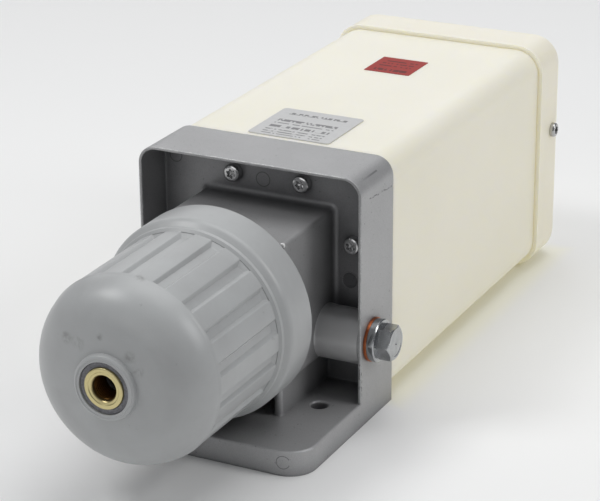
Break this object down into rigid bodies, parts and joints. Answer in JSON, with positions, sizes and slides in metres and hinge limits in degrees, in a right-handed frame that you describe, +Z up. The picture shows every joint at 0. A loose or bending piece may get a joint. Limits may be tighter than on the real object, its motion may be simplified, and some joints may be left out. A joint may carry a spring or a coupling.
{
  "type": "air-driven lubrication pump with reservoir",
  "caption": "Cast framed oil lubrication pump with a fluted air cylinder cap in front and a translucent box reservoir with a lid behind, on a slotless flat foot.",
  "frame": {"origin": "middle of the line between the two mounting holes, on the foot's underside", "axes": "+X across the pump towards the plugged port, +Y from the air cylinder towards the reservoir's lid, +Z up out of the foot"},
  "size_m": [0.1488, 0.4298, 0.141],
  "materials": {
    "cast_aluminium": "die-cast, satin, lightly soiled",
    "cream_plastic": "translucent blow-moulded plastic, slightly yellowed",
    "lid_plastic": "moulded plastic, satin",
    "grey_plastic": "moulded plastic, satin gloss with dirt smudges",
    "black_rubber": "moulded rubber",
    "dark_seal": "dark grey moulded ring",
    "insert_metal": "turned, dulled",
    "zinc_steel": "zinc-plated steel",
    "screw_steel": "bright screws",
    "copper": "soft copper, slightly tarnished",
    "turned_brass": "turned brass",
    "hard_steel": "ground and polished",
    "spring_steel": "oiled spring wire",
    "piston_alloy": "turned",
    "white_plastic": "plain moulded plastic",
    "plate_silver": "satin foil plate, bare",
    "label_red": "red film label, bare"
  },
  "bodies": {
    "root": {"pump_housing": "cast_aluminium", "reservoir_tank": "cream_plastic", "tank_gasket": "black_rubber", "tank_inserts": "turned_brass", "flange_screws": "screw_steel", "reservoir_lid": "lid_plastic", "lid_screws": "screw_steel", "cylinder_cap": "grey_plastic", "cap_seal": "black_rubber", "air_port_insert": "insert_metal", "port_seal": "dark_seal", "screw_plug": "zinc_steel", "plug_washer": "copper", "pump_cylinder": "hard_steel", "liner_seal": "black_rubber", "plunger_guide": "turned_brass", "plunger_seal": "black_rubber", "spring_seat": "zinc_steel", "valve_seat": "turned_brass", "valve_plug": "zinc_steel", "valve_plug_washer": "copper", "suction_strainer": "white_plastic", "passage_plug": "zinc_steel", "nameplate": "plate_silver", "top_label": "label_red"},
    "piston": {"air_piston": "piston_alloy", "piston_seal": "black_rubber", "piston_guide_ring": "white_plastic", "plunger": "hard_steel", "piston_nut": "zinc_steel", "return_spring": "spring_steel"},
    "valve": {"valve_ball": "hard_steel", "valve_spring": "spring_steel"}
  },
  "joints": [
    {"name": "piston_slide", "type": "slide", "parent": "root", "child": "piston", "axis": [0, 1, 0], "range_m": [0, 0.03], "stiffness_N_per_m": 3500, "springref_m": -0.012, "deforming": ["return_spring"]},
    {"name": "valve_slide", "type": "slide", "parent": "root", "child": "valve", "axis": [0, 1, 0], "range_m": [0, 0.0015], "stiffness_N_per_m": 300, "springref_m": -0.002, "deforming": ["valve_spring"]}
  ]
}
